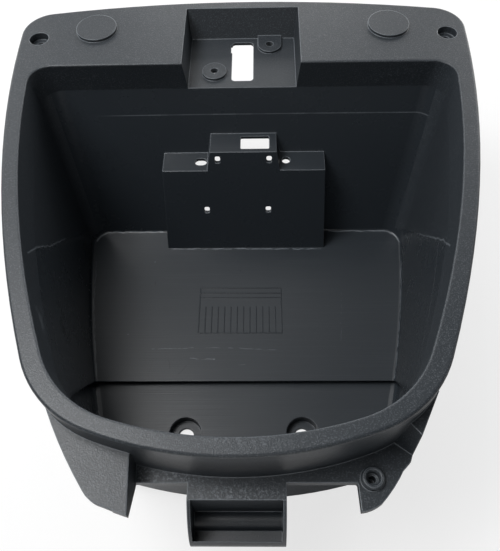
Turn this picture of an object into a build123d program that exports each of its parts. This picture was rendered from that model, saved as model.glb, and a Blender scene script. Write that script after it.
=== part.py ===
from build123d import *
import math
import os

os.makedirs("parts", exist_ok=True)

# One moulded piece. Front (hinge end) is -Y, rear (lock end) is +Y, Z up, millimetres.

# heights above the feet it stands on
flange_z = 165.0            # top face of the rim and rear deck
floor_z = 15.0              # inside floor, rear part
step_down = 5.2             # the front part of the floor lies lower
ledge_z = 127.6             # ledge and right ear outside the nose
ear_z = 149.1               # left ear

# thicknesses
wall = 2.8                  # bucket
skin = 2.5                  # flange, ledge, ears
rib = 1.8

# outlines: rear edge, its half width, radii of edge, corner, flank and shoulder, and
# sweeps of flank, shoulder and nose; one corner radius all the way down keeps the facets few
rim = (203.0, 154.4, (999.0, 25.1, 805.5, 71.9), (20.7, 48.1, 20.3))
mouth = (125.8, 144.7, (20000.0, 15.5, 703.5, 64.7), (18.8, 50.0, 17.4))
band = (125.5, 140.8, (20000.0, 15.5, 723.5, 59.0), (18.2, 50.9, 17.3))
base = (79.9, 124.0, (20000.0, 15.5, 875.0, 30.0), (12.2, 56.7, 16.5))
band_depth = 23.4           # upright top band of the rear wall
floor_round = 2.0
mouth_round = 1.2
strips = 3                  # flat strips that make up a rounded edge of the bucket
rim_round = 2.0

skirt_depth = 11.0          # turned-down edge of the flange
rim_bottom = ledge_z - skin
nose_start = (-112.0, -134.0)   # the skirt runs down to the ledge between these

# floor step that climbs the side walls, leaning forward
step_y = -69.0
step_lean = 28.0
step_out = 3.7

# lock pocket in the rear deck
pocket_top = (91.0, 194.2)      # width, rear edge
pocket_bottom = (85.6, 185.8)
slot_width = 17.4
slot_y = (133.2, 180.4)
pocket_z = flange_z - band_depth
lock_boss_d = 19.4
lock_boss_h = 2.2
lock_bosses = ((-22.4, 143.2), (22.2, 175.6))
lock_hole_d = 6.0

# rear deck
pad_d = 32.0
pad_h = 2.3
pad_at = (115.6, 168.3)
deck_hole_at = (160.3, 158.0)
deck_cbore_d = 15.0
deck_cbore_depth = 6.0
deck_hole_d = 6.6

# hollow box on the rear wall, open behind and below
box_z = 89.3
box_half = (70.2, 67.3)     # half width at floor and top
box_front = (60.0, 85.7)    # front face at floor and top
crown_z = 105.2
crown_half = (30.0, 27.1)   # half width at the box top and at its own top
crown_front = 91.1
window = (23.4, 14.0)
window_at = (9.5, 101.7)
upper_hole = (4.4, 5.8)
lower_hole = (4.6, 5.8)

# fixings in the floor
foot_at = (44.8, -108.7)
foot_cbore_d = 24.0
foot_cbore_depth = 7.5
foot_hole_d = 11.5

# ledge, ears and ring boss
ledge_y = -175.8
ledge_x = (-56.4, 66.7)
ledge_lip = 2.5
ear_lip = 5.5
ring_at = (74.7, -173.7)
ring_d = 13.0
ring_h = 3.4
ring_hole_d = 7.0
ring_ease = 1.0
ring_pin_d = 4.2            # blind hole below the recess

# hinge tray
tray_x = (-26.4, 27.8)
tray_y = -184.9
tray_lip_y = -203.0
tray_lip_z = 99.0
tray_floor_z = 96.6
tray_bottom_z = 94.6
tray_wall = 1.9
ridge_r = 5.0               # half-round ridge across the tray


def shield(outline, grow=0.0):
    """Closed outline, symmetric about X=0, from chained tangent arcs."""
    rear, half_width, radii, sweeps = outline
    edge = math.degrees(math.asin(half_width / radii[0]))
    point = Vector(0, rear + grow)
    heading = 0.0
    arcs = []
    for index, sweep in enumerate([edge, 180 - edge - sum(sweeps), *sweeps]):
        if index < len(radii):
            radius = radii[index] + grow
        else:
            radius = point.X / math.sin(math.radians(heading + 180))
        tangent = (math.cos(math.radians(heading)), math.sin(math.radians(heading)))
        arc = JernArc(start=point, tangent=tangent, radius=radius, arc_size=-sweep)
        arcs.append(arc)
        point = arc @ 1
        heading -= sweep
    half = Wire(arcs)
    return make_face([half, mirror(half, about=Plane.YZ)])


def prism(outline, grow, low, high):
    """Upright block of one outline."""
    with BuildPart() as block:
        with BuildSketch(Plane.XY.offset(low)):
            add(shield(outline, grow))
        extrude(amount=high - low)
    return block.part


def side_block(points, x_range, arcs=()):
    """Block drawn from the side as (y, z) points; arcs maps a segment to its middle point."""
    with BuildPart() as block:
        with BuildSketch(Plane.YZ.offset(x_range[0])):
            with BuildLine():
                for index, start in enumerate(points):
                    end = points[(index + 1) % len(points)]
                    middle = dict(arcs).get(index)
                    if middle:
                        ThreePointArc(start, middle, end)
                    else:
                        Line(start, end)
            make_face()
        extrude(amount=x_range[1] - x_range[0])
    return block.part


def frustum(low, low_rect, high, high_rect):
    """Block between two rectangles given as (x0, x1, y0, y1)."""
    with BuildPart() as block:
        for z, (x0, x1, y0, y1) in ((low, low_rect), (high, high_rect)):
            with BuildSketch(Plane.XY.offset(z)):
                with Locations(((x0 + x1) / 2, (y0 + y1) / 2)):
                    Rectangle(x1 - x0, y1 - y0)
        loft(ruled=True)
    return block.part


def tub(grow, drop, top_r=0.0):
    """Bucket body whose sides lean in from the mouth; its bottom edge and its top are rounded."""
    turns = [math.radians(90 * step / strips) for step in range(strips + 1)]
    bottom = floor_z - drop
    bottom_r = floor_round + grow
    levels = [(flange_z - top_r * (1 - math.cos(turn)), mouth, grow + top_r * (1 - math.sin(turn)))
              for turn in (turns if top_r else turns[:1])]
    levels.append((flange_z - band_depth, band, grow))
    levels += [(bottom + bottom_r * (1 - math.sin(turn)), base, grow - bottom_r * (1 - math.cos(turn)))
               for turn in turns]
    with BuildPart() as body:
        for z, outline, outwards in levels:
            with BuildSketch(Plane.XY.offset(z)):
                add(shield(outline, outwards))
        loft(ruled=True)
    return body.part


def bucket(grow, top_r=0.0):
    """Rear tub joined to the wider, deeper front part."""
    lean = math.tan(math.radians(step_lean))
    edge = step_y + grow / math.cos(math.radians(step_lean))
    low_y = edge + (floor_z + 20) * lean
    high_y = edge - (200 - floor_z) * lean
    front_side = side_block([(-260, -20), (low_y, -20), (high_y, 200), (-260, 200)], (-200, 200))
    with BuildPart() as body:
        add(tub(step_out + grow, step_down + grow))
        add(front_side, mode=Mode.INTERSECT)
        add(prism(mouth, grow, -20, flange_z), mode=Mode.INTERSECT)
        add(tub(grow, grow, top_r))
    return body.part


def hollow_flange(points, top, depth, arcs=()):
    """Plate with a turned-down edge, drawn from above as (x, y) points."""
    with BuildPart() as plate:
        with BuildSketch(Plane.XY.offset(top)) as outline:
            with BuildLine():
                for index, start in enumerate(points):
                    end = points[(index + 1) % len(points)]
                    middle = dict(arcs).get(index)
                    if middle:
                        ThreePointArc(start, middle, end)
                    else:
                        Line(start, end)
            make_face()
        extrude(amount=-depth)
        with BuildSketch(Plane.XY.offset(top - skin)):
            add(outline.sketch)
            offset(amount=-skin, kind=Kind.INTERSECTION, mode=Mode.REPLACE)
        extrude(amount=-depth, mode=Mode.SUBTRACT)
    return plate.part


def shoulder_block(inset, top):
    """Block outside the nose whose front face leans out towards the ledge."""
    with BuildPart() as block:
        for z, points in (
            (top, [(112.5, -131.6), (99.8, -156.5), (93.6, -148.9), (98.0, -125.0)]),
            (rim_bottom, [(112.5, -131.6), (98.0, -161.3), (86.8, -153.2), (92.0, -125.0)]),
        ):
            with BuildSketch(Plane.XY.offset(z)):
                with BuildLine():
                    Polyline(points, close=True)
                make_face()
                if inset:
                    offset(amount=-inset, kind=Kind.INTERSECTION)
        loft(ruled=True)
    return block.part


def box_face(z):
    """y of the leaning front face of the rear box at a height."""
    lean = (box_front[1] - box_front[0]) / (box_z - floor_z)
    return box_front[0] + (z - floor_z) * lean


def rear_box(inset, bottom, back):
    """Rear box with its crown; inset moves front, sides and top inwards."""
    with BuildPart() as box:
        for top, half, low, low_half in (
            (box_z, box_half[1], bottom, box_half[0] + 0.035 * (floor_z - bottom)),
            (crown_z, crown_half[1], box_z - 8, crown_half[0] + 1.5),
        ):
            low_rect = (inset - low_half, low_half - inset, box_face(low) + inset, back)
            high_rect = (inset - half, half - inset, box_face(top - inset) + inset, back)
            add(frustum(low, low_rect, top - inset, high_rect))
    return box.part


# bodies that go into the moulding
cavity = bucket(0, mouth_round)
shell = bucket(wall)

ear_skirt = hollow_flange(
    [
        (-111.0, -127.0), (-77.2, -185.8), (-67.5, -192.3), (-53.4, -197.4), (ledge_x[0], -150.0),
        (-98.0, -120.0),
    ],
    ear_z, ear_z - rim_bottom,
    {0: (-95.3, -158.3), 1: (-73.4, -189.6)},
)
ledge = hollow_flange(
    [
        (-60.0, ledge_y), (tray_x[0], ledge_y), (tray_x[0], tray_y), (tray_x[1], tray_y),
        (tray_x[1], ledge_y), (ledge_x[1] - 1.2, ledge_y), (ledge_x[1], ledge_y - 1.2),
        (ledge_x[1] + 0.7, -190.9), (79.0, -186.3), (92.4, -168.9), (96.8, -164.5), (98.0, -161.3),
        (100.0, -140.0), (-60.0, -140.0),
    ],
    ledge_z, ledge_lip + skin,
    {5: (ledge_x[1] - 0.35, ledge_y - 0.35), 7: (74.0, -189.2), 8: (86.4, -177.9)},
)

# the ear's edge turns down a little all round, and as a gusset to the ledge along its inner edge
with BuildPart() as left_ear:
    lip_z = ear_z - ear_lip
    add(side_block([(-230, lip_z), (-230, ear_z), (-110, ear_z), (-110, lip_z)], (-130, -40)))
    add(side_block([(-176, rim_bottom), (-197.4, lip_z), (-110, lip_z), (-110, rim_bottom)], (-62, -50)))
    add(ear_skirt, mode=Mode.INTERSECT)

with BuildPart() as inside:
    add(cavity)
    add(rear_box(0, floor_z - 8, 200), mode=Mode.SUBTRACT)

with BuildPart() as flange:
    add(prism(rim, 0, rim_bottom, flange_z))
    fillet(flange.faces().sort_by(Axis.Z)[-1].edges(), rim_round)
    add(prism(rim, -skin, rim_bottom, flange_z - skin), mode=Mode.SUBTRACT)
    skirt_z = flange_z - skirt_depth
    add(side_block(
        [(230, 0), (230, skirt_z), (nose_start[0], skirt_z), (nose_start[1], rim_bottom), (nose_start[1], 0)],
        (-200, 200),
    ), mode=Mode.SUBTRACT)

# ribs under the rim, the rear deck and behind the hinge tray, cut to the rim's outline
with BuildPart() as ribs:
    deck_height = skirt_depth - skin
    with Locations((0, 0, flange_z - skin - deck_height / 2)):
        with Locations([(0, y, 0) for y in (-90, -45, 0, 45, 90, 152)]):
            Box(360, rib, deck_height)
        with Locations([(x, 165, 0) for x in (-144, -84, -62, 62, 84, 144)]):
            Box(rib, 80, deck_height)
    for x in (-48, tray_x[0] + rib / 2, tray_x[1] - rib / 2, 48, 78):
        low = tray_bottom_z + 10 if abs(x) < 40 else ledge_z - skin
        add(side_block([(-175, low), (-175, flange_z - 1), (-130, flange_z - 1), (-130, low)],
                       (x - rib / 2, x + rib / 2)))
    add(prism(rim, -skin / 2, tray_bottom_z, flange_z - 1), mode=Mode.INTERSECT)

with BuildPart() as seat_bucket:
    # ears and ledge outside the nose
    add(ledge)
    add(shoulder_block(0, ear_z))
    add(shoulder_block(skin, ear_z - skin), mode=Mode.SUBTRACT)
    add(left_ear)

    # hinge tray: cheeks, round ridge and a lip, open behind and below
    tray_inside = (tray_x[0] + tray_wall, tray_x[1] - tray_wall)
    ridge_y = tray_y - ridge_r
    ridge_front = ridge_y - ridge_r
    add(side_block(
        [(-158, ledge_z), (tray_y, ledge_z), (tray_lip_y, tray_lip_z), (tray_lip_y, tray_bottom_z),
         (tray_y, tray_bottom_z), (-158, tray_bottom_z + 12)],
        tray_x, {1: (-194.5, 118.2)},
    ))
    add(side_block(
        [(tray_y, ledge_z + 1), (tray_y, tray_floor_z + 0.7 * ridge_r), (ridge_front, tray_floor_z),
         (tray_lip_y + 1.2, tray_floor_z), (tray_lip_y + 1.2, ledge_z + 1)],
        tray_inside, {1: (ridge_y, tray_floor_z + ridge_r)},
    ), mode=Mode.SUBTRACT)
    add(side_block(
        [(-150, rim_bottom), (tray_y + skin, rim_bottom), (tray_y + skin, 93.0), (-150, 93.0)],
        tray_inside,
    ), mode=Mode.SUBTRACT)
    core_r = ridge_r - skin
    add(side_block(
        [(ridge_y + core_r, 93.0), (ridge_y + core_r, tray_floor_z), (ridge_y - core_r, tray_floor_z),
         (ridge_y - core_r, 93.0)],
        tray_inside, {1: (ridge_y, tray_floor_z + core_r)},
    ), mode=Mode.SUBTRACT)
    add(prism(rim, -skin, tray_bottom_z - 5, flange_z - skin), mode=Mode.SUBTRACT)

    # rim, deck, ribs and bucket
    add(flange)
    add(ribs)
    add(shell)

    # lock pocket body
    pocket_half = (pocket_bottom[0] / 2, pocket_top[0] / 2)
    add(frustum(
        pocket_z - skin, (-pocket_half[0] - skin, pocket_half[0] + skin, 118, pocket_bottom[1] + skin),
        flange_z - 1, (-pocket_half[1] - skin, pocket_half[1] + skin, 118, pocket_top[1] + skin),
    ))

    # rear deck pads and corner bosses
    for side in (-1, 1):
        with Locations((side * pad_at[0], pad_at[1], flange_z + pad_h / 2)):
            Cylinder(pad_d / 2, pad_h)
        with Locations((side * deck_hole_at[0], deck_hole_at[1], flange_z - 5)):
            Cylinder(deck_cbore_d / 2 + skin, 9)

    # feet round the floor fixings, with stiffening ribs level with them
    for side in (-1, 1):
        with Locations((side * foot_at[0], foot_at[1], 4.5)):
            Cylinder(foot_cbore_d / 2 + wall, 9)
        with Locations((side * foot_at[0], (foot_at[1] + 52) / 2, 6.5)):
            Box(rib, 52 - foot_at[1], 13)
    for y in (-30, 46):
        with Locations((0, y, 6.5)):
            Box(200, rib, 13)

    # hollow it out: bucket, lock pocket, back of the rear box
    add(inside, mode=Mode.SUBTRACT)
    add(frustum(
        pocket_z, (-pocket_half[0], pocket_half[0], 100, pocket_bottom[1]),
        flange_z + 1, (-pocket_half[1], pocket_half[1], 100, pocket_top[1]),
    ), mode=Mode.SUBTRACT)
    add(rear_box(wall, -10, 240), mode=Mode.SUBTRACT)

    # lock fixings: round boss, and one that runs back into the pocket wall
    for index, (x, y) in enumerate(lock_bosses):
        with BuildSketch(Plane.XY.offset(pocket_z)):
            with Locations((x, y)):
                Circle(lock_boss_d / 2)
            if index == 1:
                with Locations((x, (y + pocket_bottom[1]) / 2 + 1)):
                    Rectangle(lock_boss_d, pocket_bottom[1] - y + 2)
        extrude(amount=lock_boss_h)
        with Locations((x, y, pocket_z)):
            Cylinder(lock_hole_d / 2, 30, mode=Mode.SUBTRACT)
    with BuildSketch(Plane.XY.offset(pocket_z - 2 * skin)):
        with Locations((0, (slot_y[0] + slot_y[1]) / 2)):
            RectangleRounded(slot_width, slot_y[1] - slot_y[0], 3.0)
        with Locations((-slot_width / 2, slot_y[1] - 8)):
            Rectangle(2.0, 10.0)
    extrude(amount=4 * skin, mode=Mode.SUBTRACT)

    # counterbored holes in the deck corners and the floor
    for side in (-1, 1):
        with Locations(Plane.XY.offset(flange_z) * Location((side * deck_hole_at[0], deck_hole_at[1]))):
            CounterBoreHole(deck_hole_d / 2, deck_cbore_d / 2, deck_cbore_depth, 20)
        front_floor = floor_z - step_down
        with Locations(Plane.XY.offset(front_floor) * Location((side * foot_at[0], foot_at[1]))):
            CounterBoreHole(foot_hole_d / 2, foot_cbore_d / 2, foot_cbore_depth, 30)

    # openings of the rear box
    with BuildSketch(Plane.XY.offset(crown_z - 6)):
        with Locations(window_at):
            RectangleRounded(*window, 1.2)
    extrude(amount=10, mode=Mode.SUBTRACT)
    with BuildSketch(Plane.XY.offset(box_z - 6)):
        with Locations((-35.8, 95.8)):
            RectangleRounded(10.0, 7.6, 3.7)
        with Locations((35.2, 96.8)):
            Circle(3.5)
    extrude(amount=7, mode=Mode.SUBTRACT)
    for x, z, size in (
        (-21.1, 98.7, upper_hole), (21.1, 98.7, upper_hole),
        (-32.5, 53.4, lower_hole), (20.4, 53.4, lower_hole),
    ):
        with BuildSketch(Plane.XZ.offset(-box_face(z) - 8)):
            with Locations((x, z)):
                RectangleRounded(*size, 1.4)
        extrude(amount=16, mode=Mode.SUBTRACT)

    # ring boss with eased edges on the right ear, its stepped hole closed below
    with Locations((*ring_at, ledge_z - 5.5)):
        Cylinder(ring_d / 2 - 1.5, 10)
    with Locations((*ring_at, ledge_z + ring_h - ring_ease / 2)):
        Cone(ring_d / 2, ring_d / 2 - ring_ease, ring_ease)
    with Locations((*ring_at, ledge_z + (ring_h - ring_ease) / 2)):
        Cylinder(ring_d / 2, ring_h - ring_ease)
    with Locations(Plane.XY.offset(ledge_z + ring_h) * Location(ring_at)):
        CounterBoreHole(ring_pin_d / 2, ring_hole_d / 2, 5.0, 11.5)
    with Locations((*ring_at, ledge_z + ring_h - ring_ease / 2)):
        Cone(ring_hole_d / 2, ring_hole_d / 2 + ring_ease, ring_ease, mode=Mode.SUBTRACT)

    # blank date grid, raised from the floor
    with BuildSketch(Plane.XY.offset(floor_z)):
        with Locations((-4, -4.5)):
            Rectangle(70, 44)
            Rectangle(69, 43, mode=Mode.SUBTRACT)
        with Locations((-4, 12.2), (-4, 7.8)):
            Rectangle(70, 0.5)
        with Locations([(-33.4 + 5.35 * column, -13.7) for column in range(12)]):
            Rectangle(0.5, 25)
    extrude(amount=0.3)

export_step(seat_bucket.part, "parts/seat_bucket.step")
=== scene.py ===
import bpy
import math
from mathutils import Matrix, Vector

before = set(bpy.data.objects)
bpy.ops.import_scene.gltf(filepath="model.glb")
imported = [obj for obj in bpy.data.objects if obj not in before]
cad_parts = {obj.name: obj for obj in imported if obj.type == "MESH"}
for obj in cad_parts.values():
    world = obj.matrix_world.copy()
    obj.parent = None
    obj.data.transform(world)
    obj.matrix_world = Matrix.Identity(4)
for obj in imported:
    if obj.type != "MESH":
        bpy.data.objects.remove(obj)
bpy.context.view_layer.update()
mm = 0.001


# sRGB hex to linear
def hexColour(text):
    channels = [int(text[i:i + 2], 16) / 255 for i in (1, 3, 5)]
    linear = [c / 12.92 if c <= 0.04045 else ((c + 0.055) / 1.055) ** 2.4 for c in channels]
    return (*linear, 1.0)


# adds a node; a setting that is a node or one of its outputs becomes a link
def addNode(tree, kind, settings=None):
    node = tree.nodes.new("ShaderNode" + kind)
    for name, value in (settings or {}).items():
        if isinstance(value, bpy.types.Node):
            value = value.outputs[0]
        if isinstance(value, bpy.types.NodeSocket):
            tree.links.new(value, node.inputs[name])
        elif isinstance(name, int) or name in node.inputs:
            node.inputs[name].default_value = value
        else:
            setattr(node, name, value)
    return node


camera = {
    "place": (16.4, -262.5, 473.5),     # mm, in front of and above the nose
    "pitch": 57.41,                     # degrees down
    "yaw": -2.43,
    "roll": -2.44,
    "lens": 40.5,                       # mm
    "sensor": 36.0,                     # mm wide
    "nearest": 10.0,                    # mm, where its view starts
}


def makeCamera():
    pitch, yaw, roll = (math.radians(camera[k]) for k in ("pitch", "yaw", "roll"))
    forward = Vector((math.sin(yaw) * math.cos(pitch), math.cos(yaw) * math.cos(pitch), -math.sin(pitch)))
    level = Vector((math.cos(yaw), -math.sin(yaw), 0))
    upright = level.cross(forward)
    right = math.cos(roll) * level + math.sin(roll) * upright
    up = -math.sin(roll) * level + math.cos(roll) * upright
    data = bpy.data.cameras.new("camera")
    data.lens = camera["lens"]
    data.sensor_width = camera["sensor"]
    data.clip_start = camera["nearest"] * mm
    eye = bpy.data.objects.new("camera", data)
    bpy.context.scene.collection.objects.link(eye)
    axes = Matrix((right, up, -forward)).transposed()
    eye.matrix_world = Matrix.Translation(Vector(camera["place"]) * mm) @ axes.to_4x4()
    bpy.context.scene.camera = eye


makeCamera()
print("camera set")

studio = {
    # square softboxes, places and sides in m
    "lamps": {
        "overLeft": {"place": (-0.50, 0.15, 1.20), "size": 0.4, "watts": 6.0},
        "overFront": {"place": (-0.35, -0.10, 1.30), "size": 0.5, "watts": 2.8},
        "left": {"place": (-0.65, -0.15, 1.15), "size": 0.5, "watts": 5.1},
        "right": {"place": (1.30, 0.0, 0.50), "size": 0.7, "watts": 1.0},
        "front": {"place": (0.0, -1.20, 0.80), "size": 0.8, "watts": 2.6},
        "highBack": {"place": (0.0, 0.80, 1.15), "size": 0.6, "watts": 1.2},
        "highLeftBack": {"place": (-0.75, 0.60, 1.10), "size": 0.6, "watts": 0.9},
        "lowBack": {"place": (0.0, 1.40, 0.60), "size": 0.8, "watts": 5.4},
        "lowLeftBack": {"place": (-0.95, 1.05, 0.60), "size": 0.8, "watts": 4.5},
        "lowRightBack": {"place": (0.95, 1.05, 0.60), "size": 0.8, "watts": 7.3},
    },
    "aim": (0.0, 0.0, 0.1),
    "fillColour": "#FFFFFF",
    "fillStrength": 0.03,               # what the surroundings give as a lamp
    "backdropStrength": 1.0,            # what the camera sees past the floor
    "floorSize": 8.0,
    "floorColour": "#F4F4F4",
    "floorShade": 0.3,                  # share of the lit floor and its shadows that the camera sees
    "floorLift": 0.72,                  # even light that it sees there as well
}


def makeStudio():
    for name, lamp in studio["lamps"].items():
        data = bpy.data.lights.new(name, "AREA")
        data.shape = "SQUARE"
        data.size = lamp["size"]
        data.energy = lamp["watts"]
        light = bpy.data.objects.new(name, data)
        bpy.context.scene.collection.objects.link(light)
        place = Vector(lamp["place"])
        aim = Vector(studio["aim"]) - place
        light.matrix_world = Matrix.Translation(place) @ aim.to_track_quat("-Z", "Y").to_matrix().to_4x4()

    # white where the camera sees past the floor, dimmer as a lamp
    world = bpy.data.worlds.new("studio")
    world.use_nodes = True
    bpy.context.scene.world = world
    tree = world.node_tree
    tree.nodes.clear()
    fill = hexColour(studio["fillColour"])
    path = addNode(tree, "LightPath")
    soft = addNode(tree, "Background", {"Color": fill, "Strength": studio["fillStrength"]})
    white = addNode(tree, "Background", {"Color": fill, "Strength": studio["backdropStrength"]})
    seen = addNode(tree, "MixShader", {0: path.outputs["Is Camera Ray"], 1: soft, 2: white})
    addNode(tree, "OutputWorld", {"Surface": seen})

    # white paper sweep: matt, so it takes the shadow and gives no gloss; the lift keeps it near white
    bpy.ops.mesh.primitive_plane_add(size=studio["floorSize"], location=(0, 0, 0))
    floor = bpy.context.object
    floor.name = "floor"
    paper = bpy.data.materials.new("whitePaperSweep")
    paper.use_nodes = True
    tree = paper.node_tree
    tree.nodes.clear()
    lifted = 1 - studio["floorShade"]
    path = addNode(tree, "LightPath")
    matt = addNode(tree, "BsdfDiffuse", {"Color": hexColour(studio["floorColour"])})
    glow = addNode(tree, "Emission", {"Strength": studio["floorLift"] / lifted})
    both = addNode(tree, "MixShader", {0: lifted, 1: matt, 2: glow})
    seen = addNode(tree, "MixShader", {0: path.outputs["Is Camera Ray"], 1: matt, 2: both})
    addNode(tree, "OutputMaterial", {"Surface": seen})
    floor.data.materials.append(paper)


makeStudio()
print("studio set")

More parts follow.
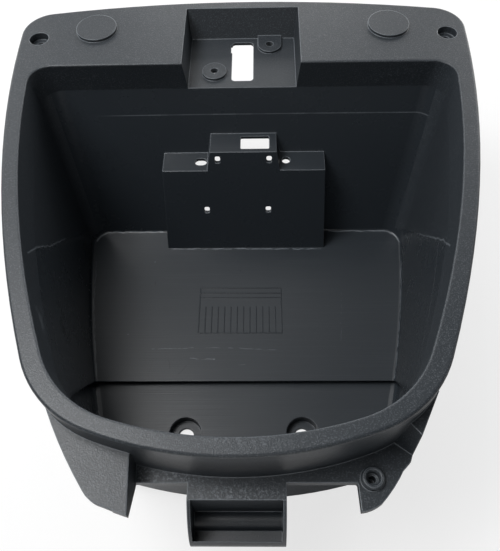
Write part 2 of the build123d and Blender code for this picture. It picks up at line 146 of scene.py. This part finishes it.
# black polypropylene, injection moulded: a dull fine grain where the tool was spark eroded, outside and on
# rim and deck, and soft gloss with faint cutter lines where it was polished, on walls and floor inside
moulding = {
    "colour": "#2A2F34",
    "paleColour": "#7A8086",            # rubbed and scratched places, and painted highlights
    "paleShare": 0.5,                   # how far tone 1 goes to it
    "darkColour": "#14171C",            # scuffs and grime, and painted shade
    "darkShare": 0.8,                   # how far tone -1 goes to it
    "ior": 1.49,                        # polypropylene
    "grainRoughness": 0.42,
    "smoothRoughness": 0.27,
    "floorRoughness": 0.36,
    "roughnessSpread": 0.1,             # from its glossiest to its dullest places
    "cloudSize": 40.0,                  # mm, over what length the gloss varies
    "scuffDulling": 0.06,               # how much rougher dark marks and painted shade are

    "edgeRadius": 1.1,                  # mm
    "edgeSamples": 6,
    "edgeBend": (0.9, 0.995),           # cosine of the rounding, from a full edge to a flat face
    "edgeUpward": (0.2, 0.6),           # how far up an edge looks, from none to the full rubbing and painted highlight
    "edgeFloor": 16.0,                  # mm, edges lower than this get no rubbing or painted highlight
    "edgeTone": 1.8,                    # how much paler rubbed edges are, rubbed wear and painted highlight together
    "edgePolish": 0.1,                  # how much smoother edges are

    "grainSize": 0.8,                   # mm, as coarse as it needs to show: about one pixel of the render
    "grainDepth": 0.14,                 # mm, deep enough to show
    "grainTops": (0.5, 0.72),           # noise from none to a full top
    "grainTone": 0.5,                   # how much paler the tops are
    "toolMarkSize": (90.0, 1.0, 90.0),  # mm, cutter lines run across, 1 mm apart so that they show
    "toolMarkDepth": 0.06,              # mm
    "toolMarkTops": (0.5, 0.7),         # noise from none to a full top
    "toolMarkTone": 0.05,               # how much paler their tops are

    "insideMiddle": (0.0, 0.0, 120.0),  # mm, inside faces look towards it
    "smoothTop": 141.4,                 # mm, faces higher than this are grained, the lock pocket's floor too
    "noseInside": -165.0,               # mm, faces in front of it are grained
    "grainEdge": (-45.0, 160.0, 0.87),  # y and z where the side walls' grain starts, and its slope
    "sideWall": 0.6,                    # a side wall looks at least this far sideways
    "levelFace": 0.9,                   # a level face looks at least this far up

    # the parting witness round the walls inside, in mm; it fades out to the left and here and there
    "witness": {"height": 121.0, "width": 0.6, "tone": 0.9, "fadeX": (-125.0, -95.0),
                "fadeCloud": (0.35, 0.6), "faintest": 0.4},

    # lines on the faces: points and width in mm, tone above 0 is paler; some lines are painted highlights
    "markCore": 0.2,                    # share of a line's width that has its full tone
    "wanderLength": 7.0,                # mm, over what length lines wander
    "wanderReach": 2.7,                 # mm, from one side to the other
    "marks": {
        # painted highlights along the creases of the side walls
        "leftCreaseHighlight": {"width": 1.0, "tone": 1.0, "points": [
            (-132.4, -41.0, 155.0), (-134.8, -25.6, 139.3), (-137.9, -6.0, 113.1), (-139.6, 7.4, 98.1),
            (-141.0, 25.5, 78.4)]},
        "rightCreaseHighlight": {"width": 1.0, "tone": 1.0, "points": [
            (133.5, -36.0, 151.8), (136.4, -18.1, 133.4), (139.4, 3.6, 106.3), (141.5, 40.9, 60.6)]},
        # painted highlights along the foot of the box and the floor's edges
        "boxFootHighlight": {"width": 0.9, "tone": 1.3, "points": [(-66.8, 59.4, 15.3), (66.8, 58.4, 15.3)]},
        "floorBackLeftHighlight": {"width": 1.0, "tone": 1.4, "points": [
            (-136.2, 69.0, 15.2), (-133.6, 74.5, 15.2), (-127.5, 78.2, 15.5), (-116.5, 78.6, 15.3),
            (-76.6, 78.4, 15.3)]},
        "floorBackRightHighlight": {"width": 1.0, "tone": 1.2, "points": [
            (76.0, 78.0, 15.3), (127.1, 77.8, 15.3), (134.8, 73.1, 15.2), (138.4, 65.5, 15.3)]},
        "floorSideLeftHighlight": {"width": 0.7, "tone": 0.6, "points": [
            (-133.8, 46.0, 15.2), (-130.4, 6.4, 15.2), (-124.1, -32.0, 15.2), (-117.8, -65.8, 15.2)]},
        "floorSideRightHighlight": {"width": 0.8, "tone": 0.8, "points": [
            (137.4, 44.0, 15.9), (132.0, 2.3, 15.9), (125.4, -34.0, 15.9), (118.5, -67.0, 15.9)]},
        "floorScratchA": {"width": 0.4, "tone": 0.8, "points": [
            (-77.0, -40.4, 15.0), (-20.0, -39.5, 15.0), (28.0, -41.8, 15.0)]},
        "floorScratchB": {"width": 0.5, "tone": 1.0, "points": [
            (-44.2, -48.7, 15.0), (-34.0, -50.0, 15.0), (-24.7, -49.3, 15.0)]},
        "floorScratchC": {"width": 0.3, "tone": 0.6, "points": [
            (-10.8, -55.0, 15.0), (0.5, -54.6, 15.0)]},
        "floorScratchD": {"width": 0.3, "tone": 0.4, "points": [
            (82.4, 12.9, 15.0), (80.4, -14.4, 15.0), (79.0, -33.9, 15.0)]},
        "scuffA": {"width": 0.6, "tone": -0.8, "points": [
            (-64.0, -47.0, 15.0), (-61.0, -52.0, 15.0), (-60.1, -57.5, 15.0)]},
        "scuffB": {"width": 0.6, "tone": -0.8, "points": [
            (-47.0, -55.5, 15.0), (-49.5, -59.5, 15.0), (-52.5, -62.5, 15.0)]},
        "scuffC": {"width": 0.4, "tone": -0.5, "points": [
            (-73.0, -46.0, 15.0), (-76.0, -61.0, 15.0)]},
        "speckA": {"width": 0.9, "tone": 1.0, "points": [(-81.1, 45.4, 15.0), (-80.8, 45.4, 15.0)]},
        "speckB": {"width": 0.7, "tone": 1.0, "points": [(-97.2, -26.6, 15.0), (-96.9, -26.6, 15.0)]},
        "speckC": {"width": 0.8, "tone": 1.0, "points": [(-25.0, -49.3, 15.0), (-24.4, -49.3, 15.0)]},
        "speckD": {"width": 0.8, "tone": -0.8, "points": [(-4.9, 36.2, 15.0), (-4.3, 35.2, 15.0)]},
        "speckE": {"width": 0.8, "tone": -0.8, "points": [(-79.2, 24.3, 15.0), (-78.6, 21.3, 15.0)]},
        "backFleck": {"width": 0.7, "tone": 0.8, "points": [
            (-145.4, 112.6, 119.0), (-144.8, 113.8, 116.4)]},
    },

    # rubbed, paler and darker patches, painted highlight and painted shade among them: middle, reach and size
    # of flecks in mm (0 is even)
    "patchEdge": (0.3, 1.0),            # shares of the reach, from the full tone to none
    "fleckEdge": (0.48, 0.66),          # noise from none to a full fleck
    "patches": {
        "ledgeWear": {
            "middle": (4.0, -183.0, 127.6), "reach": (36.0, 9.0, 4.0), "fleck": 1.6, "tone": 0.7},
        "ridgeWear": {
            "middle": (0.7, -190.0, 101.0), "reach": (30.0, 5.0, 4.0), "fleck": 1.2, "tone": 0.35},
        "rimRub": {
            "middle": (8.0, -164.0, 166.0), "reach": (34.0, 6.0, 5.0), "fleck": 1.8, "tone": 0.35},
        # a painted highlight on the left of the ledge
        "ledgePaintedHighlight": {
            "middle": (-42.0, -173.0, 127.6), "reach": (36.0, 10.0, 4.0), "fleck": 1.3, "tone": 1.3},
        # painted shade over the hinge tray and on the nose wall
        "trayShade": {
            "middle": (0.7, -194.0, 100.0), "reach": (60.0, 13.0, 16.0), "fleck": 0, "tone": -0.9},
        "noseShade": {
            "middle": (0.0, -170.0, 145.0), "reach": (75.0, 9.0, 15.0), "fleck": 0, "tone": -1.0},
        "leftSmear": {
            "middle": (-118.0, -84.0, 150.0), "reach": (9.0, 16.0, 12.0), "fleck": 7.0, "tone": 0.5},
        "leftGrime": {
            "middle": (-124.0, -52.0, 92.0), "reach": (10.0, 34.0, 20.0), "fleck": 9.0, "tone": -0.8},
        "backWear": {
            "middle": (-120.0, 104.0, 84.0), "reach": (22.0, 12.0, 26.0), "fleck": 5.0, "tone": -0.35},
    },
}

softStep = {"interpolation_type": "SMOOTHSTEP"}     # every mask fades in this way


# 1 on the smooth faces inside the bucket, 0 on grained ones
def smoothMask(tree, place, y, z, normal, sideways):
    towards = addNode(tree, "VectorMath", {"operation": "SUBTRACT", 0: moulding["insideMiddle"], 1: place})
    facing = addNode(tree, "VectorMath", {"operation": "DOT_PRODUCT", 0: normal, 1: towards})
    inside = addNode(tree, "Math", {"operation": "GREATER_THAN", 0: facing.outputs["Value"], 1: 0.0})
    below = addNode(tree, "Math", {"operation": "LESS_THAN", 0: z, 1: moulding["smoothTop"]})
    behind = addNode(tree, "Math", {"operation": "GREATER_THAN", 0: y, 1: moulding["noseInside"]})
    inside = addNode(tree, "Math", {"operation": "MULTIPLY", 0: inside, 1: below})
    inside = addNode(tree, "Math", {"operation": "MULTIPLY", 0: inside, 1: behind})
    edgeY, edgeZ, slope = moulding["grainEdge"]
    line = addNode(tree, "Math", {"operation": "MULTIPLY_ADD", 0: z, 1: slope, 2: y})
    grained = addNode(tree, "Math", {"operation": "GREATER_THAN", 0: line, 1: edgeY + edgeZ * slope})
    wall = addNode(tree, "Math", {"operation": "GREATER_THAN", 0: sideways, 1: moulding["sideWall"]})
    grained = addNode(tree, "Math", {"operation": "MULTIPLY", 0: grained, 1: wall})
    return addNode(tree, "Math", {"operation": "SUBTRACT", "use_clamp": True, 0: inside, 1: grained})


# 1 along the middle of one straight stretch of a line, 0 its width away
def stretchMask(tree, place, start, end, width):
    along = Vector(end) - Vector(start)
    offset = addNode(tree, "VectorMath", {"operation": "SUBTRACT", 0: place, 1: start})
    share = addNode(tree, "VectorMath", {"operation": "DOT_PRODUCT", 0: offset,
                                         1: tuple(along / along.length_squared)})
    share = addNode(tree, "Math", {"operation": "MINIMUM", 0: share.outputs["Value"], 1: 1.0})
    share = addNode(tree, "Math", {"operation": "MAXIMUM", 0: share, 1: 0.0})
    nearest = addNode(tree, "VectorMath", {"operation": "SCALE", 0: tuple(along), "Scale": share})
    distance = addNode(tree, "VectorMath", {"operation": "DISTANCE", 0: offset, 1: nearest})
    return addNode(tree, "MapRange", {
        **softStep, "Value": distance.outputs["Value"], "From Min": width * moulding["markCore"],
        "From Max": width, "To Min": 1.0, "To Max": 0.0})


# tone that all lines and patches add up to, painted highlights and painted shade among them; lines wander a
# little, as hand-made marks do
def markTone(tree, place):
    noise = addNode(tree, "TexNoise", {
        "Vector": place, "Scale": 1 / moulding["wanderLength"], "Detail": 3.0})
    shift = addNode(tree, "VectorMath", {"operation": "SUBTRACT", 0: noise.outputs["Color"], 1: (0.5,) * 3})
    wandered = addNode(tree, "VectorMath", {"operation": "MULTIPLY_ADD", 0: shift,
                                            1: (moulding["wanderReach"],) * 3, 2: place})
    tone = 0.0
    for mark in moulding["marks"].values():
        mask = 0.0
        for start, end in zip(mark["points"], mark["points"][1:]):
            stretch = stretchMask(tree, wandered, start, end, mark["width"])
            mask = addNode(tree, "Math", {"operation": "MAXIMUM", 0: stretch, 1: mask})
        tone = addNode(tree, "Math", {"operation": "MULTIPLY_ADD", 0: mask, 1: mark["tone"], 2: tone})

    fullReach, noReach = moulding["patchEdge"]
    noFleck, fullFleck = moulding["fleckEdge"]
    for patch in moulding["patches"].values():
        offset = addNode(tree, "VectorMath", {"operation": "SUBTRACT", 0: place, 1: patch["middle"]})
        offset = addNode(tree, "VectorMath", {"operation": "DIVIDE", 0: offset, 1: patch["reach"]})
        distance = addNode(tree, "VectorMath", {"operation": "LENGTH", 0: offset})
        mask = addNode(tree, "MapRange", {**softStep, "Value": distance.outputs["Value"],
                                          "From Min": fullReach, "From Max": noReach,
                                          "To Min": 1.0, "To Max": 0.0})
        if patch["fleck"]:
            noise = addNode(tree, "TexNoise", {"Vector": place, "Scale": 1 / patch["fleck"], "Detail": 3.0})
            fleck = addNode(tree, "MapRange", {**softStep, "Value": noise.outputs["Fac"],
                                               "From Min": noFleck, "From Max": fullFleck})
            mask = addNode(tree, "Math", {"operation": "MULTIPLY", 0: mask, 1: fleck})
        tone = addNode(tree, "Math", {"operation": "MULTIPLY_ADD", 0: mask, 1: patch["tone"], 2: tone})
    return tone


# tone of the parting witness
def witnessTone(tree, x, z, smooth, cloud):
    witness = moulding["witness"]
    away = addNode(tree, "Math", {"operation": "SUBTRACT", 0: z, 1: witness["height"]})
    away = addNode(tree, "Math", {"operation": "ABSOLUTE", 0: away})
    line = addNode(tree, "MapRange", {
        **softStep, "Value": away, "From Min": witness["width"] * moulding["markCore"],
        "From Max": witness["width"], "To Min": 1.0, "To Max": 0.0})
    left, right = witness["fadeX"]
    across = addNode(tree, "MapRange", {**softStep, "Value": x, "From Min": left, "From Max": right})
    faint, clear = witness["fadeCloud"]
    broken = addNode(tree, "MapRange", {
        **softStep, "Value": cloud, "From Min": faint, "From Max": clear,
        "To Min": witness["faintest"], "To Max": 1.0})
    line = addNode(tree, "Math", {"operation": "MULTIPLY", 0: line, 1: across})
    line = addNode(tree, "Math", {"operation": "MULTIPLY", 0: line, 1: broken})
    line = addNode(tree, "Math", {"operation": "MULTIPLY", 0: line, 1: smooth})
    return addNode(tree, "Math", {"operation": "MULTIPLY", 0: line, 1: witness["tone"]})


def makeMoulding():
    material = bpy.data.materials.new("mouldedPolypropylene")
    material.use_nodes = True
    tree = material.node_tree
    tree.nodes.clear()

    # places in mm, and the ways faces look
    metres = addNode(tree, "TexCoord").outputs["Object"]
    place = addNode(tree, "VectorMath", {"operation": "MULTIPLY", 0: metres, 1: (1 / mm,) * 3})
    x, y, z = addNode(tree, "SeparateXYZ", {0: place}).outputs
    normal = addNode(tree, "NewGeometry").outputs["True Normal"]
    nx, _, nz = addNode(tree, "SeparateXYZ", {0: normal}).outputs
    rounded = addNode(tree, "Bevel", {
        "samples": moulding["edgeSamples"], "Radius": moulding["edgeRadius"] * mm})

    # which faces are smooth, grained and level
    sideways = addNode(tree, "Math", {"operation": "ABSOLUTE", 0: nx})
    smooth = smoothMask(tree, place, y, z, normal, sideways)
    coarse = addNode(tree, "Math", {"operation": "SUBTRACT", 0: 1.0, 1: smooth})
    level = addNode(tree, "Math", {"operation": "GREATER_THAN", 0: nz, 1: moulding["levelFace"]})
    flat = addNode(tree, "Math", {"operation": "MULTIPLY", 0: smooth, 1: level})

    # the grain, the cutter lines and the slow change of gloss
    grain = addNode(tree, "TexNoise", {
        "Vector": place, "Scale": 1 / moulding["grainSize"], "Detail": 2.0}).outputs["Fac"]
    cloud = addNode(tree, "TexNoise", {
        "Vector": place, "Scale": 1 / moulding["cloudSize"], "Detail": 4.0, "Roughness": 0.65}).outputs["Fac"]
    combed = addNode(tree, "VectorMath", {"operation": "DIVIDE", 0: place, 1: moulding["toolMarkSize"]})
    comb = addNode(tree, "TexNoise", {"Vector": combed, "Scale": 1.0, "Detail": 2.0}).outputs["Fac"]

    # tone of marks and witness, of rubbed edges with a painted highlight on their tops, and of the tops of
    # lines and grain
    marked = markTone(tree, place)
    parted = witnessTone(tree, x, z, smooth, cloud)
    tone = addNode(tree, "Math", {"operation": "ADD", 0: marked, 1: parted})
    # rubbed edges: wear, and a painted highlight that grows as an edge looks upward
    turn = addNode(tree, "VectorMath", {"operation": "DOT_PRODUCT", 0: rounded, 1: normal})
    fullBend, noBend = moulding["edgeBend"]
    bend = addNode(tree, "MapRange", {
        **softStep, "Value": turn.outputs["Value"], "From Min": fullBend, "From Max": noBend,
        "To Min": 1.0, "To Max": 0.0})
    edgeZ = addNode(tree, "SeparateXYZ", {0: rounded}).outputs["Z"]
    none, full = moulding["edgeUpward"]
    upward = addNode(tree, "MapRange", {**softStep, "Value": edgeZ, "From Min": none, "From Max": full})
    above = addNode(tree, "Math", {"operation": "GREATER_THAN", 0: z, 1: moulding["edgeFloor"]})
    edgeWearAndHighlight = addNode(tree, "Math", {"operation": "MULTIPLY", 0: bend, 1: above})
    edgeWearAndHighlight = addNode(tree, "Math", {"operation": "MULTIPLY", 0: edgeWearAndHighlight, 1: upward})
    tone = addNode(tree, "Math", {"operation": "MULTIPLY_ADD", 0: edgeWearAndHighlight, 1: moulding["edgeTone"], 2: tone})
    none, full = moulding["toolMarkTops"]
    tops = addNode(tree, "MapRange", {**softStep, "Value": comb, "From Min": none, "From Max": full})
    tops = addNode(tree, "Math", {"operation": "MULTIPLY", 0: tops, 1: flat})
    tone = addNode(tree, "Math", {"operation": "MULTIPLY_ADD", 0: tops, 1: moulding["toolMarkTone"], 2: tone})
    none, full = moulding["grainTops"]
    tops = addNode(tree, "MapRange", {**softStep, "Value": grain, "From Min": none, "From Max": full})
    tops = addNode(tree, "Math", {"operation": "MULTIPLY", 0: tops, 1: coarse})
    tone = addNode(tree, "Math", {"operation": "MULTIPLY_ADD", 0: tops, 1: moulding["grainTone"], 2: tone})

    # height of the grain and of the cutter lines
    height = addNode(tree, "Math", {"operation": "MULTIPLY", 0: grain, 1: coarse})
    height = addNode(tree, "Math", {"operation": "MULTIPLY", 0: height, 1: moulding["grainDepth"]})
    lines = addNode(tree, "Math", {"operation": "MULTIPLY", 0: comb, 1: flat})
    height = addNode(tree, "Math", {
        "operation": "MULTIPLY_ADD", 0: lines, 1: moulding["toolMarkDepth"], 2: height})
    bump = addNode(tree, "Bump", {"Strength": 1.0, "Distance": mm, "Height": height, "Normal": rounded})

    # roughness by finish: grain, smooth wall, duller floor, then clouds, smoother edges, and dull scuffs and
    # painted shade
    roughness = addNode(tree, "MapRange", {
        **softStep, "Value": smooth, "From Min": 0.0, "From Max": 1.0,
        "To Min": moulding["grainRoughness"], "To Max": moulding["smoothRoughness"]})
    duller = moulding["floorRoughness"] - moulding["smoothRoughness"]
    roughness = addNode(tree, "Math", {"operation": "MULTIPLY_ADD", 0: flat, 1: duller, 2: roughness})
    spread = addNode(tree, "Math", {"operation": "SUBTRACT", 0: cloud, 1: 0.5})
    roughness = addNode(tree, "Math", {
        "operation": "MULTIPLY_ADD", 0: spread, 1: moulding["roughnessSpread"], 2: roughness})
    roughness = addNode(tree, "Math", {
        "operation": "MULTIPLY_ADD", 0: bend, 1: -moulding["edgePolish"], 2: roughness})
    scuffsAndPaintedShade = addNode(tree, "Math", {"operation": "MINIMUM", 0: tone, 1: 0.0})
    roughness = addNode(tree, "Math", {
        "operation": "MULTIPLY_ADD", 0: scuffsAndPaintedShade, 1: -moulding["scuffDulling"], 2: roughness})

    # sockets 6, 7 and 2 of a Mix node are its two colours and its result
    paler = addNode(tree, "Math", {
        "operation": "MULTIPLY", "use_clamp": True, 0: tone, 1: moulding["paleShare"]})
    colour = addNode(tree, "Mix", {
        "data_type": "RGBA", "Factor": paler, 6: hexColour(moulding["colour"]),
        7: hexColour(moulding["paleColour"])}).outputs[2]
    darker = addNode(tree, "Math", {
        "operation": "MULTIPLY", "use_clamp": True, 0: tone, 1: -moulding["darkShare"]})
    colour = addNode(tree, "Mix", {
        "data_type": "RGBA", "Factor": darker, 6: colour, 7: hexColour(moulding["darkColour"])}).outputs[2]

    surface = addNode(tree, "BsdfPrincipled", {
        "Base Color": colour, "IOR": moulding["ior"], "Roughness": roughness, "Normal": bump})
    addNode(tree, "OutputMaterial", {"Surface": surface})
    return material


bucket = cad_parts["seat_bucket"]
bucket.data.materials.clear()
bucket.data.materials.append(makeMoulding())
print("moulding dressed")

bpy.context.scene.view_settings.view_transform = "Standard"
